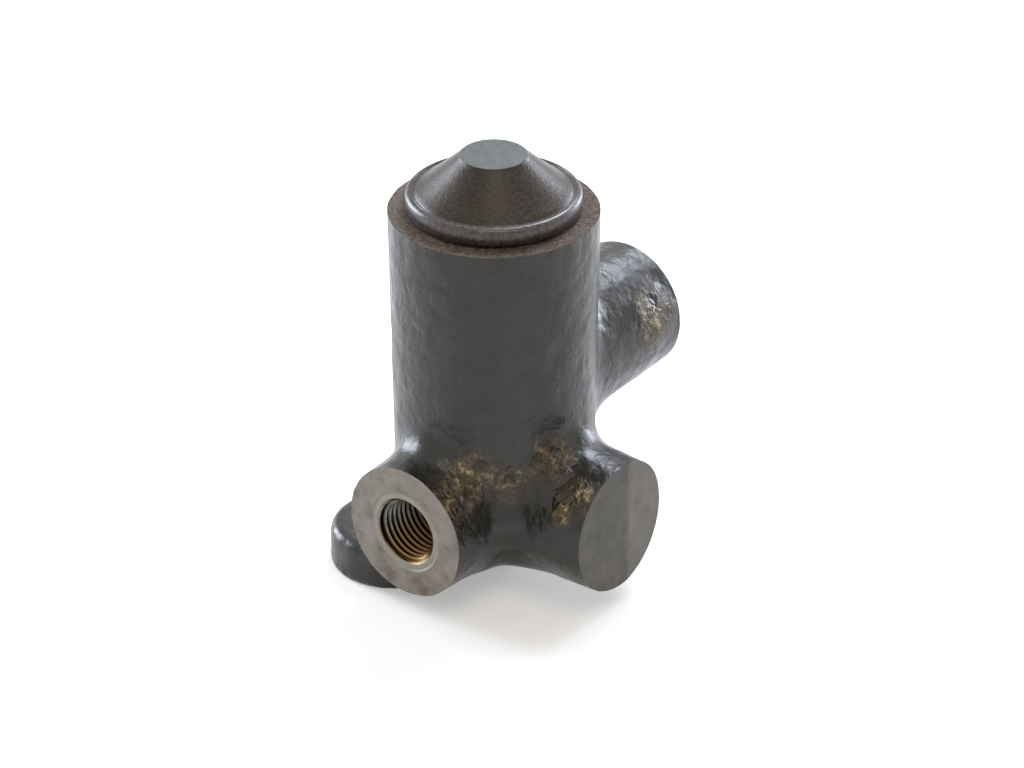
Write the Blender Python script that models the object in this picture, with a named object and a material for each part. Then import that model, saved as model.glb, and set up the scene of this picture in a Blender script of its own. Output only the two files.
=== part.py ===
"""Brake pressure regulator valve: a cast body with a front outlet port, a rear
inlet port, a blind stub and a round foot, a spring-loaded stepped piston with
its seals, and a domed cap. Metres, +Z up along the main bore, origin where the
bore's axis meets the plane of the foot's underside."""

import math

import bmesh
import bpy
from mathutils import Matrix, Vector

# Casting
RIM_RADIUS = 0.01525
BODY_HEIGHT = 0.0567
BODY_DRAFT = 0.0008
BASE_PAD_RADIUS = 0.0045
BASE_RISE = 0.0062
BASE_CORNER = 0.0030
RIM_CHAMFER = 0.0003

# Bosses and the blind stub: radius at the end, reach from the bore axis, height
OUTLET_BOSS_RADIUS = 0.0102
OUTLET_REACH = 0.0206
INLET_BOSS_RADIUS = 0.0100
INLET_REACH = 0.0316
INLET_AXIS_Z = 0.0282
STUB_RADIUS = 0.0100
STUB_REACH = 0.0233
LOWER_AXIS_Z = 0.0128
BOSS_EDGE = 0.0003
BOSS_DRAFT_DEG = 2.0
ROOT_FILLET = 0.0042
GUSSET_FILLET = 0.0080
WEB_FILLET = 0.0050
LEAST_FILLET = 0.0001
CONE_SHARE = 0.6
FILLET_END_SHARE = 0.88
WEB_END_SHARE = 0.1
WEB_HEIGHT_SHARE = 0.9
CORE_SHARE = 0.93
WEB_CORE_SHARE = 0.8

# Round foot beside the outlet boss
FOOT_PAD_RADIUS = 0.0096
FOOT_PAD_HEIGHT = 0.0066
FOOT_PAD_X = -0.0102
FOOT_PAD_Y = -0.0108
FOOT_PAD_ROUND = 0.0016

# Main bore
CHAMBER_RADIUS = 0.0104
BUSH_BORE_RADIUS = 0.0080
OUTLET_CHAMBER_RADIUS = 0.00625
BASE_WALL = 0.0069
VALVE_STEP_Z = 0.0188
BUSH_SEAT_LENGTH = 0.0041
CIRCLIP_GROOVE = 0.0009

# Ports, M10 x 1, drawn at the thread's core
THREAD_CORE_RADIUS = 0.00446
THREAD_DEPTH = 0.0115
PORT_CHAMFER = 0.0010
DRILLING_RADIUS = 0.0020
DRILL_CONE_DEG = 31.0

# Fits
SEAT_GAP = 0.0003
BORE_CLEARANCE = 0.00015
RUNNING_CLEARANCE = 0.00008
PISTON_TRAVEL = 0.0015

# Piston
STEM_RADIUS = 0.0035
NECK_RADIUS = 0.0027
HEAD_RADIUS = 0.0049
HEAD_LENGTH = 0.0037
WAIST_RADIUS = 0.0030
FOOT_LENGTH = 0.0022
FOOT_LIFT = 0.0010
FOOT_SLOTS = 3
FOOT_SLOT_WIDTH = 0.0030
FOOT_SLOT_ROOT = 0.0006
PISTON_EDGE = 0.0004
SPIGOT_SHARE = 0.51
SPIGOT_LENGTH = 0.0069

# Valve ring, its washer and the spacer sleeve
VALVE_RING_HEIGHT = 0.0026
VALVE_RING_BORE = 0.0039
VALVE_LIP = 0.0004
WASHER_THICKNESS = 0.0008
WASHER_BORE = 0.0046
SLEEVE_WALL = 0.0013
SLEEVE_LAND = 0.0012
WINDOW_HEIGHT = 0.0046
WINDOW_WIDTH = 0.0046
WINDOW_PAIRS = 2

# Stem seal and guide bush
SEAL_WASHER_THICKNESS = 0.0006
SEAL_HEIGHT = 0.0020
SEAL_SECTION = 0.0021
BACKUP_HEIGHT = 0.0008
BUSH_FLANGE = 0.0013
BUSH_HUB_RADIUS = 0.0060
BUSH_HUB_HEIGHT = 0.0014
WIPER_HEIGHT = 0.0011
WIPER_SECTION = 0.0014
RING_GROOVE_WIDTH = 0.0018
RING_GROOVE_DEPTH = 0.0013

# Circlips
BUSH_CIRCLIP_THICKNESS = 0.0010
END_CIRCLIP_THICKNESS = 0.0012
END_CIRCLIP_DEPTH = 0.0020
CIRCLIP_WIDTH_SHARE = 0.2
CIRCLIP_GAP_DEG = 44.0
LUG_RADIUS_SHARE = 0.125
LUG_HOLE_RADIUS = 0.0006
LUG_OVERLAP_SHARE = 0.6

# Spring, its seat, clip, shims and cup
WIRE_RADIUS = 0.0011
SPRING_TURNS = 5.0
END_TURNS = 1.0
END_TURN_GAP = 0.00015
SEAT_FLANGE_RADIUS = 0.0080
SEAT_FLANGE = 0.0012
SEAT_HUB_HEIGHT = 0.0025
STEM_CLIP_THICKNESS = 0.0008
STEM_CLIP_SHARE = 0.83
STEM_CLIP_GROOVE = 0.0005
STEM_CLIP_GAP_DEG = 100.0
SHIM_THICKNESS = 0.0004
SHIM_BORE_SHARE = 0.59
CUP_LEDGE_SHARE = 0.2
CUP_WALL = 0.0008
CUP_RISE = 0.0073
CUP_CORNER = 0.0015

# Domed cap
CAP_FLANGE_RADIUS = 0.0126
CAP_FLANGE_HEIGHT = 0.0030
CAP_FLANGE_ROUND = 0.0006
CAP_LEDGE = 0.0013
CAP_TOP_RADIUS = 0.0049
CAP_HEIGHT = 0.0086
CAP_WALL = 0.0015
CAP_GROOVE = 0.0002
CAP_NECK_DEPTH = 0.0016
CAP_NECK_WALL = 0.0013
CAP_SAG = 0.0004

# Number of sides
BODY_SIDES = 48
BOSS_SIDES = 36
BORE_SIDES = 28
CAP_SIDES = 40
ROUND_STEPS = 4
WIRE_STEPS = 16
CLIP_STEPS = 16
RING_STEPS = 8
LUG_SIDES = 12
HOLE_SIDES = 8

MERGE = 1e-7
CUT_OVER = 0.001

# Heights that follow from the sizes above
valve_ring_z = VALVE_STEP_Z + SEAT_GAP
valve_washer_z = valve_ring_z + VALVE_RING_HEIGHT + SEAT_GAP
sleeve_z = valve_washer_z + WASHER_THICKNESS + SEAT_GAP
sleeve_top_z = INLET_AXIS_Z + WINDOW_HEIGHT / 2 + SLEEVE_LAND
seal_washer_z = sleeve_top_z + SEAT_GAP
bush_z = seal_washer_z + SEAL_WASHER_THICKNESS + SEAT_GAP
bush_step_z = bush_z + BUSH_SEAT_LENGTH
bush_flange_z = bush_step_z + SEAT_GAP
bush_flange_top_z = bush_flange_z + BUSH_FLANGE
bush_top_z = bush_flange_top_z + BUSH_HUB_HEIGHT
bush_circlip_z = bush_flange_top_z + SEAT_GAP
backup_z = bush_z + SEAL_HEIGHT + SEAT_GAP
recess_top_z = backup_z + BACKUP_HEIGHT + SEAT_GAP
spring_seat_z = bush_top_z + SEAT_GAP
spring_z = spring_seat_z + SEAT_FLANGE + SEAT_GAP
stem_clip_z = spring_seat_z + SEAT_FLANGE + SEAT_HUB_HEIGHT + SEAT_GAP
shoulder_z = spring_seat_z - SEAT_GAP
head_top_z = VALVE_STEP_Z - VALVE_LIP - SEAT_GAP - PISTON_TRAVEL
foot_z = BASE_WALL + FOOT_LIFT
end_circlip_z = BODY_HEIGHT - END_CIRCLIP_DEPTH - END_CIRCLIP_THICKNESS
cup_flange_z = end_circlip_z - SEAT_GAP - CUP_WALL
cup_top_z = cup_flange_z + CUP_WALL + CUP_RISE
shim_top_z = cup_top_z - CUP_WALL - SEAT_GAP
shim_low_z = shim_top_z - SHIM_THICKNESS * 2 - SEAT_GAP
spring_top_z = shim_low_z - SEAT_GAP
cap_z = BODY_HEIGHT + SEAT_GAP

# Radii that follow from the sizes above
bore_fit_radius = BUSH_BORE_RADIUS - BORE_CLEARANCE
chamber_fit_radius = CHAMBER_RADIUS - BORE_CLEARANCE
groove_radius = CHAMBER_RADIUS + CIRCLIP_GROOVE
circlip_width = CHAMBER_RADIUS * CIRCLIP_WIDTH_SHARE
lug_radius = CHAMBER_RADIUS * LUG_RADIUS_SHARE
foot_radius = OUTLET_CHAMBER_RADIUS - RUNNING_CLEARANCE
seal_recess_radius = STEM_RADIUS + SEAL_SECTION + BORE_CLEARANCE * 2
wiper_recess_radius = STEM_RADIUS + WIPER_SECTION + BORE_CLEARANCE * 2
cup_outer_radius = CHAMBER_RADIUS * (1.0 - CUP_LEDGE_SHARE)
cup_inner_radius = cup_outer_radius - CUP_WALL
spring_radius = cup_inner_radius - SEAT_GAP - WIRE_RADIUS
seat_hub_radius = spring_radius - WIRE_RADIUS - BORE_CLEARANCE
stem_clip_radius = seat_hub_radius * STEM_CLIP_SHARE
spigot_radius = seat_hub_radius * SPIGOT_SHARE
clip_groove_radius = spigot_radius - STEM_CLIP_GROOVE


def clear_scene():
    for thing in list(bpy.data.objects):
        bpy.data.objects.remove(thing, do_unlink=True)


def make_material(name, colour, metallic, roughness):
    material = bpy.data.materials.new(name)
    material.use_nodes = True
    shader = material.node_tree.nodes["Principled BSDF"]
    shader.inputs["Base Color"].default_value = (*colour, 1.0)
    shader.inputs["Metallic"].default_value = metallic
    shader.inputs["Roughness"].default_value = roughness
    material.diffuse_color = (*colour, 1.0)
    return material


def add_shape(name, shape, location=(0.0, 0.0, 0.0), sharp_deg=35.0):
    """Turns a bmesh into an object with its faces pointing out."""
    bmesh.ops.recalc_face_normals(shape, faces=shape.faces)
    mesh = bpy.data.meshes.new(name)
    shape.to_mesh(mesh)
    shape.free()
    mesh.shade_smooth()
    mesh.set_sharp_from_angle(angle=math.radians(sharp_deg))
    thing = bpy.data.objects.new(name, mesh)
    thing.location = location
    bpy.context.scene.collection.objects.link(thing)
    return thing


def spin_outline(outline, sides):
    """Spins an outline of (radius, height) points about Z. An outline that
    starts and ends on the axis is left open there."""
    shape = bmesh.new()
    corners = [shape.verts.new((radius, 0.0, height)) for radius, height in outline]
    edges = [shape.edges.new(pair) for pair in zip(corners, corners[1:])]
    if outline[0][0] > MERGE or outline[-1][0] > MERGE:
        edges.append(shape.edges.new((corners[-1], corners[0])))
    bmesh.ops.spin(
        shape,
        geom=corners + edges,
        cent=(0.0, 0.0, 0.0),
        axis=(0.0, 0.0, 1.0),
        angle=math.tau,
        steps=sides,
        use_merge=True,
    )
    bmesh.ops.remove_doubles(shape, verts=shape.verts, dist=MERGE)
    bmesh.ops.dissolve_degenerate(shape, edges=shape.edges, dist=MERGE)
    return shape


def add_turned(name, outline, height, material, sides=BORE_SIDES):
    thing = add_shape(name, spin_outline(outline, sides), (0.0, 0.0, height))
    thing.data.materials.append(material)
    return thing


def ring_outline(inner, outer, thickness):
    return [(inner, 0.0), (outer, 0.0), (outer, thickness), (inner, thickness)]


def arc_points(centre, radius, start_deg, end_deg, steps=ROUND_STEPS):
    """Points along an arc of the outline plane, both ends included."""
    points = []
    for step in range(steps + 1):
        angle = math.radians(start_deg + (end_deg - start_deg) * step / steps)
        points.append((centre[0] + radius * math.cos(angle), centre[1] + radius * math.sin(angle)))
    return points


def combine(thing, other, operation):
    """Joins another object to this one or cuts it away, and hides it."""
    modifier = thing.modifiers.new(other.name, "BOOLEAN")
    modifier.operation = operation
    modifier.solver = "EXACT"
    modifier.object = other
    other.hide_render = True
    other.display_type = "WIRE"


def body_radius(height):
    """Radius of the drafted cylinder at a height."""
    return RIM_RADIUS - BODY_DRAFT * (1.0 - height / BODY_HEIGHT)


def fillet_size(angle, radius, axis_z, above, below):
    """Root fillet at an angle round a boss, 0 at its top. One with none below
    keeps its size until it nears the base cone, and runs out there."""
    lean = math.cos(angle)
    if below > 0.0:
        return above + (below - above) * (1.0 - lean) / 2
    if lean < 0.0:
        room = (axis_z - BASE_RISE * CONE_SHARE) / -lean - radius
        return min(above, max(room, LEAST_FILLET))
    return above


def root_points(angle, radius, axis_z, above, below):
    """The root fillet's section at an angle round a boss: the path of a ball
    that touches both the boss and the drafted cylinder, then a step inwards."""
    size = fillet_size(angle, radius, axis_z, above, below)
    side = math.sin(angle) * (radius + size)
    up = math.cos(angle) * (radius + size)
    wall = body_radius(axis_z + up)
    along = math.sqrt((wall + size) ** 2 - side**2)
    centre = Vector((side, along, up))
    on_boss = Vector((math.sin(angle) * radius, along, math.cos(angle) * radius))
    share = wall / (wall + size)
    on_body = Vector((side * share, along * share, up))
    start = (on_boss - centre).normalized()
    end = (on_body - centre).normalized()
    steps = ROUND_STEPS + 1
    turns = [FILLET_END_SHARE * step / steps for step in range(steps + 1)]
    points = [centre + start.slerp(end, turn) * size for turn in turns]
    inwards = Vector((points[-1].x, points[-1].y, 0.0)).normalized()
    points.append(points[-1] - inwards * CUT_OVER)
    return points


def add_boss(name, turn_deg, radius, reach, axis_z, below=0.0):
    """A cast boss along +Y, turned about Z, from its end face to well inside
    the body, as rings of points joined by faces."""
    growth = math.tan(math.radians(BOSS_DRAFT_DEG)) * (reach - body_radius(axis_z))
    root_radius = radius + growth
    ends = [(radius - BOSS_EDGE, reach), (radius, reach - BOSS_EDGE)]
    core_radius = radius * CORE_SHARE
    core_along = BUSH_BORE_RADIUS / 2
    columns = []
    for side in range(BOSS_SIDES):
        angle = math.tau * side / BOSS_SIDES
        around = Vector((math.sin(angle), 0.0, math.cos(angle)))
        column = [around * out + Vector((0.0, along, 0.0)) for out, along in ends]
        column += root_points(angle, root_radius, axis_z, ROOT_FILLET, below)
        column.append(around * core_radius + Vector((0.0, core_along, 0.0)))
        columns.append(column)
    shape = bmesh.new()
    rings = []
    for row in range(len(columns[0])):
        rings.append([shape.verts.new(column[row]) for column in columns])
    for first, second in zip(rings, rings[1:]):
        for side in range(BOSS_SIDES):
            after = (side + 1) % BOSS_SIDES
            shape.faces.new((first[side], first[after], second[after], second[side]))
    shape.faces.new(rings[0])
    shape.faces.new(rings[-1])
    turn = Matrix.Rotation(math.radians(turn_deg), 4, "Z")
    bmesh.ops.transform(shape, matrix=turn, verts=shape.verts)
    return add_shape(name, shape, (0.0, 0.0, axis_z))


def add_web():
    """The fillet between the outlet boss and the stub: the path of a ball that
    touches both, as sections at several heights."""
    shape = bmesh.new()
    sections = []
    outlet_far = OUTLET_BOSS_RADIUS + WEB_FILLET
    stub_far = STUB_RADIUS + WEB_FILLET
    reach = STUB_RADIUS * WEB_HEIGHT_SHARE
    levels = ROUND_STEPS * 2
    for level in range(levels + 1):
        height = reach * (2.0 * level / levels - 1.0)
        across = math.sqrt(outlet_far**2 - height**2)
        forward = math.sqrt(stub_far**2 - height**2)
        centre = Vector((across, -forward, height))
        outlet_share = OUTLET_BOSS_RADIUS / outlet_far
        stub_share = STUB_RADIUS / stub_far
        on_outlet = Vector((across * outlet_share, -forward, height * outlet_share))
        on_stub = Vector((across, -forward * stub_share, height * stub_share))
        start = (on_outlet - centre).normalized()
        end = (on_stub - centre).normalized()
        steps = ROUND_STEPS + 2
        turn_share = 1.0 - WEB_END_SHARE * 2
        turns = [WEB_END_SHARE + turn_share * step / steps for step in range(steps + 1)]
        arc = [centre + start.slerp(end, turn) * WEB_FILLET for turn in turns]
        in_outlet = on_outlet + start * CUT_OVER
        in_stub = on_stub + end * CUT_OVER
        core = Vector((STUB_RADIUS / 3, -STUB_RADIUS / 3, height * WEB_CORE_SHARE))
        points = [in_outlet] + arc + [in_stub, core]
        sections.append([shape.verts.new(point) for point in points])
    count = len(sections[0])
    for first, second in zip(sections, sections[1:]):
        for index in range(count):
            after = (index + 1) % count
            shape.faces.new((first[index], first[after], second[after], second[index]))
    shape.faces.new(sections[0])
    shape.faces.new(sections[-1])
    return add_shape("corner_web", shape, (0.0, 0.0, LOWER_AXIS_Z))


def add_foot_pad():
    """Round foot with a rounded upper edge and a flat underside."""
    edge_centre = (FOOT_PAD_RADIUS - FOOT_PAD_ROUND, FOOT_PAD_HEIGHT - FOOT_PAD_ROUND)
    outline = [(0.0, 0.0), (FOOT_PAD_RADIUS - BOSS_EDGE, 0.0), (FOOT_PAD_RADIUS, BOSS_EDGE)]
    outline += arc_points(edge_centre, FOOT_PAD_ROUND, 0.0, 90.0)
    outline.append((0.0, FOOT_PAD_HEIGHT))
    shape = spin_outline(outline, BOSS_SIDES)
    return add_shape("round_foot", shape, (FOOT_PAD_X, FOOT_PAD_Y, 0.0))


def add_cutter(name, outline, matrix, sides=BORE_SIDES):
    shape = spin_outline(outline, sides)
    bmesh.ops.transform(shape, matrix=matrix, verts=shape.verts)
    return add_shape(name, shape)


def port_outline(reach, drill_end):
    """Chamfer, thread core, drill cone and drilling, as (radius, distance from
    the bore axis)."""
    thread_end = reach - THREAD_DEPTH
    cone = (THREAD_CORE_RADIUS - DRILLING_RADIUS) * math.tan(math.radians(DRILL_CONE_DEG))
    return [
        (0.0, reach + CUT_OVER),
        (THREAD_CORE_RADIUS + PORT_CHAMFER + CUT_OVER, reach + CUT_OVER),
        (THREAD_CORE_RADIUS, reach - PORT_CHAMFER),
        (THREAD_CORE_RADIUS, thread_end),
        (DRILLING_RADIUS, thread_end - cone),
        (DRILLING_RADIUS, drill_end),
        (0.0, drill_end),
    ]


def bore_outline():
    """The main bore from its open end down, with both circlip grooves."""
    end_top = BODY_HEIGHT - END_CIRCLIP_DEPTH + BORE_CLEARANCE
    end_low = end_circlip_z - BORE_CLEARANCE
    bush_top = bush_circlip_z + BUSH_CIRCLIP_THICKNESS + BORE_CLEARANCE
    bush_low = bush_circlip_z - BORE_CLEARANCE
    return [
        (0.0, BODY_HEIGHT + CUT_OVER),
        (CHAMBER_RADIUS, BODY_HEIGHT + CUT_OVER),
        (CHAMBER_RADIUS, end_top),
        (groove_radius, end_top),
        (groove_radius, end_low),
        (CHAMBER_RADIUS, end_low),
        (CHAMBER_RADIUS, bush_top),
        (groove_radius, bush_top),
        (groove_radius, bush_low),
        (CHAMBER_RADIUS, bush_low),
        (CHAMBER_RADIUS, bush_step_z),
        (BUSH_BORE_RADIUS, bush_step_z),
        (BUSH_BORE_RADIUS, VALVE_STEP_Z),
        (OUTLET_CHAMBER_RADIUS, VALVE_STEP_Z),
        (OUTLET_CHAMBER_RADIUS, BASE_WALL),
        (0.0, BASE_WALL),
    ]


def base_outline():
    """The lower end: a small flat pad, a shallow cone and a rounded corner."""
    wall = body_radius(BASE_RISE)
    slope = math.atan2(BASE_RISE, wall - BASE_PAD_RADIUS)
    set_back = BASE_CORNER * math.tan((math.pi / 2 - slope) / 2)
    centre = (wall - BASE_CORNER, BASE_RISE + set_back)
    start_deg = math.degrees(slope) - 90.0
    return [(0.0, 0.0), (BASE_PAD_RADIUS, 0.0)] + arc_points(centre, BASE_CORNER, start_deg, 0.0)


def add_body(material):
    outline = base_outline()
    outline.append((RIM_RADIUS, BODY_HEIGHT - RIM_CHAMFER))
    outline.append((RIM_RADIUS - RIM_CHAMFER, BODY_HEIGHT))
    outline.append((0.0, BODY_HEIGHT))
    body = add_turned("valve_body", outline, 0.0, material, BODY_SIDES)
    bosses = [
        add_boss("outlet_boss", 180.0, OUTLET_BOSS_RADIUS, OUTLET_REACH, LOWER_AXIS_Z),
        add_boss("blind_stub", -90.0, STUB_RADIUS, STUB_REACH, LOWER_AXIS_Z),
        add_boss("inlet_boss", 0.0, INLET_BOSS_RADIUS, INLET_REACH, INLET_AXIS_Z, GUSSET_FILLET),
        add_web(),
        add_foot_pad(),
    ]
    for boss in bosses:
        combine(body, boss, "UNION")
    outlet_outline = port_outline(OUTLET_REACH, OUTLET_CHAMBER_RADIUS - CUT_OVER)
    inlet_outline = port_outline(INLET_REACH, BUSH_BORE_RADIUS - CUT_OVER)
    outlet_turn = Matrix.Translation((0.0, 0.0, LOWER_AXIS_Z)) @ Matrix.Rotation(math.pi / 2, 4, "X")
    inlet_turn = Matrix.Translation((0.0, 0.0, INLET_AXIS_Z)) @ Matrix.Rotation(-math.pi / 2, 4, "X")
    combine(body, add_cutter("main_bore", bore_outline(), Matrix.Identity(4)), "DIFFERENCE")
    combine(body, add_cutter("outlet_port", outlet_outline, outlet_turn), "DIFFERENCE")
    combine(body, add_cutter("inlet_port", inlet_outline, inlet_turn), "DIFFERENCE")
    return body


def add_piston(material):
    """Stepped piston, its height measured from the underside of the foot."""
    neck_top_z = sleeve_z
    head_low_z = head_top_z - HEAD_LENGTH
    edge = PISTON_EDGE
    clip_low_z = stem_clip_z - BORE_CLEARANCE
    clip_top_z = stem_clip_z + STEM_CLIP_THICKNESS + BORE_CLEARANCE
    top_z = shoulder_z + SPIGOT_LENGTH
    profile = [
        (0.0, foot_z),
        (foot_radius - edge, foot_z),
        (foot_radius, foot_z + edge),
        (foot_radius, foot_z + FOOT_LENGTH - edge),
        (foot_radius - edge, foot_z + FOOT_LENGTH),
        (WAIST_RADIUS, foot_z + FOOT_LENGTH),
        (WAIST_RADIUS, head_low_z),
        (HEAD_RADIUS - edge, head_low_z),
        (HEAD_RADIUS, head_low_z + edge),
        (HEAD_RADIUS, head_top_z - edge),
        (HEAD_RADIUS - edge, head_top_z),
        (NECK_RADIUS, head_top_z),
        (NECK_RADIUS, neck_top_z),
        (STEM_RADIUS, neck_top_z + STEM_RADIUS - NECK_RADIUS),
        (STEM_RADIUS, shoulder_z),
        (spigot_radius, shoulder_z),
        (spigot_radius, clip_low_z),
        (clip_groove_radius, clip_low_z),
        (clip_groove_radius, clip_top_z),
        (spigot_radius, clip_top_z),
        (spigot_radius, top_z - edge),
        (spigot_radius - edge, top_z),
        (0.0, top_z),
    ]
    outline = [(radius, height - foot_z) for radius, height in profile]
    piston = add_turned("piston", outline, foot_z, material)
    for number in range(FOOT_SLOTS):
        angle = math.tau * (number + 0.5) / FOOT_SLOTS
        shape = bmesh.new()
        bmesh.ops.create_cube(shape, size=1.0)
        size = (foot_radius, FOOT_SLOT_WIDTH, FOOT_LENGTH + CUT_OVER)
        bmesh.ops.scale(shape, vec=size, verts=shape.verts)
        offset = WAIST_RADIUS + FOOT_SLOT_ROOT + foot_radius / 2
        bmesh.ops.translate(shape, vec=(offset, 0.0, foot_z + FOOT_LENGTH / 2), verts=shape.verts)
        bmesh.ops.rotate(shape, matrix=Matrix.Rotation(angle, 3, "Z"), verts=shape.verts)
        combine(piston, add_shape(f"foot_slot_{number + 1}", shape), "DIFFERENCE")
    return piston


def add_valve_ring(material):
    """Rubber ring on the first step, its lip hanging just below the step."""
    lip_radius = min((VALVE_RING_BORE + OUTLET_CHAMBER_RADIUS) / 2, HEAD_RADIUS + SEAT_GAP)
    low = -SEAT_GAP - VALVE_LIP
    outline = [
        (VALVE_RING_BORE, low),
        (lip_radius, low),
        (lip_radius + SEAT_GAP, 0.0),
        (bore_fit_radius, 0.0),
        (bore_fit_radius, VALVE_RING_HEIGHT),
        (WASHER_BORE, VALVE_RING_HEIGHT),
        (VALVE_RING_BORE, VALVE_RING_HEIGHT / 2),
    ]
    return add_turned("valve_ring", outline, valve_ring_z, material)


def add_sleeve(material):
    """Spacer sleeve with pairs of windows level with the inlet drilling."""
    height = sleeve_top_z - sleeve_z
    inner = bore_fit_radius - SLEEVE_WALL
    sleeve = add_turned("spacer_sleeve", ring_outline(inner, bore_fit_radius, height), sleeve_z, material)
    for number in range(WINDOW_PAIRS):
        shape = bmesh.new()
        bmesh.ops.create_cube(shape, size=1.0)
        size = (bore_fit_radius * 3, WINDOW_WIDTH, WINDOW_HEIGHT)
        bmesh.ops.scale(shape, vec=size, verts=shape.verts)
        bmesh.ops.rotate(shape, matrix=Matrix.Rotation(math.pi * number / WINDOW_PAIRS, 3, "Z"), verts=shape.verts)
        cutter = add_shape(f"sleeve_windows_{number + 1}", shape, (0.0, 0.0, INLET_AXIS_Z))
        combine(sleeve, cutter, "DIFFERENCE")
    return sleeve


def add_stem_seal(material):
    """Lip seal, open towards the pressure below."""
    inner = STEM_RADIUS + BORE_CLEARANCE
    outer = inner + SEAL_SECTION
    middle = (inner + outer) / 2
    lip = SEAL_SECTION / 4
    outline = [
        (inner, 0.0),
        (inner + lip, 0.0),
        (middle, SEAL_HEIGHT / 2),
        (outer - lip, 0.0),
        (outer, 0.0),
        (outer, SEAL_HEIGHT),
        (inner, SEAL_HEIGHT),
    ]
    return add_turned("stem_seal", outline, bush_z, material)


def add_guide_bush(material):
    """Bush with the seal recess below, the ring groove outside and the wiper
    recess above."""
    stem_bore = STEM_RADIUS + RUNNING_CLEARANCE
    groove_z = bush_z + (BUSH_SEAT_LENGTH - RING_GROOVE_WIDTH) / 2
    groove_bottom = bore_fit_radius - RING_GROOVE_DEPTH
    wiper_floor_z = bush_top_z - WIPER_HEIGHT - SEAT_GAP
    profile = [
        (seal_recess_radius, bush_z),
        (bore_fit_radius, bush_z),
        (bore_fit_radius, groove_z),
        (groove_bottom, groove_z),
        (groove_bottom, groove_z + RING_GROOVE_WIDTH),
        (bore_fit_radius, groove_z + RING_GROOVE_WIDTH),
        (bore_fit_radius, bush_flange_z),
        (chamber_fit_radius, bush_flange_z),
        (chamber_fit_radius, bush_flange_top_z),
        (BUSH_HUB_RADIUS, bush_flange_top_z),
        (BUSH_HUB_RADIUS, bush_top_z),
        (wiper_recess_radius, bush_top_z),
        (wiper_recess_radius, wiper_floor_z),
        (stem_bore, wiper_floor_z),
        (stem_bore, recess_top_z),
        (seal_recess_radius, recess_top_z),
    ]
    outline = [(radius, height - bush_z) for radius, height in profile]
    return add_turned("guide_bush", outline, bush_z, material)


def add_o_ring(material):
    groove_bottom = bore_fit_radius - RING_GROOVE_DEPTH
    ring_radius = (groove_bottom + BUSH_BORE_RADIUS) / 2
    section = (BUSH_BORE_RADIUS - groove_bottom) / 2 - BORE_CLEARANCE / 2
    last_deg = 360.0 - 360.0 / RING_STEPS
    outline = arc_points((ring_radius, 0.0), section, 0.0, last_deg, RING_STEPS - 1)
    return add_turned("bush_o_ring", outline, bush_z + BUSH_SEAT_LENGTH / 2, material)


def add_circlip(name, height, thickness, material):
    """Internal circlip: an open ring with two drilled lugs."""
    outer = groove_radius - BORE_CLEARANCE
    inner = outer - circlip_width
    half_gap = CIRCLIP_GAP_DEG / 2
    lug_centre = inner + lug_radius * LUG_OVERLAP_SHARE
    lug_angle = math.radians(half_gap) + lug_radius / lug_centre
    lug_end = math.degrees(lug_angle + lug_radius / lug_centre)
    shape = bmesh.new()
    outline = arc_points((0.0, 0.0), outer, half_gap, 360.0 - half_gap, BORE_SIDES)
    outline += arc_points((0.0, 0.0), inner, 360.0 - lug_end, lug_end, BORE_SIDES)
    ring = shape.faces.new([shape.verts.new((x, y, 0.0)) for x, y in outline])
    made = bmesh.ops.extrude_face_region(shape, geom=[ring])
    raised = [item for item in made["geom"] if isinstance(item, bmesh.types.BMVert)]
    bmesh.ops.translate(shape, vec=(0.0, 0.0, thickness), verts=raised)
    clip = add_shape(name, shape, (0.0, 0.0, height))
    clip.data.materials.append(material)
    for number, sign in enumerate((1.0, -1.0)):
        place = (math.cos(lug_angle) * lug_centre, sign * math.sin(lug_angle) * lug_centre)
        lug_outline = [(0.0, 0.0), (lug_radius, 0.0), (lug_radius, thickness), (0.0, thickness)]
        lug = add_shape(f"{name}_lug_{number + 1}", spin_outline(lug_outline, LUG_SIDES), (*place, height))
        combine(clip, lug, "UNION")
        hole_outline = [
            (0.0, -CUT_OVER),
            (LUG_HOLE_RADIUS, -CUT_OVER),
            (LUG_HOLE_RADIUS, thickness + CUT_OVER),
            (0.0, thickness + CUT_OVER),
        ]
        hole = add_shape(f"{name}_hole_{number + 1}", spin_outline(hole_outline, HOLE_SIDES), (*place, height))
        combine(clip, hole, "DIFFERENCE")
    return clip


def add_stem_clip(material):
    """Open clip in the spigot's groove."""
    inner = clip_groove_radius + BORE_CLEARANCE
    outer = stem_clip_radius
    shape = bmesh.new()
    half_gap = STEM_CLIP_GAP_DEG / 2
    outline = arc_points((0.0, 0.0), outer, half_gap, 360.0 - half_gap, CLIP_STEPS)
    outline += arc_points((0.0, 0.0), inner, 360.0 - half_gap, half_gap, CLIP_STEPS)
    ring = shape.faces.new([shape.verts.new((x, y, 0.0)) for x, y in outline])
    made = bmesh.ops.extrude_face_region(shape, geom=[ring])
    raised = [item for item in made["geom"] if isinstance(item, bmesh.types.BMVert)]
    bmesh.ops.translate(shape, vec=(0.0, 0.0, STEM_CLIP_THICKNESS), verts=raised)
    clip = add_shape("stem_clip", shape, (0.0, 0.0, stem_clip_z))
    clip.data.materials.append(material)
    return clip


def add_spring_seat(material):
    bore = spigot_radius + BORE_CLEARANCE
    hub = seat_hub_radius
    edge = SEAT_FLANGE / 3
    top = SEAT_FLANGE + SEAT_HUB_HEIGHT
    outline = [
        (bore, 0.0),
        (SEAT_FLANGE_RADIUS - edge, 0.0),
        (SEAT_FLANGE_RADIUS, edge),
        (SEAT_FLANGE_RADIUS, SEAT_FLANGE),
        (hub, SEAT_FLANGE),
        (hub, top - edge),
        (hub - edge, top),
        (bore, top),
    ]
    return add_turned("spring_seat", outline, spring_seat_z, material)


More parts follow.
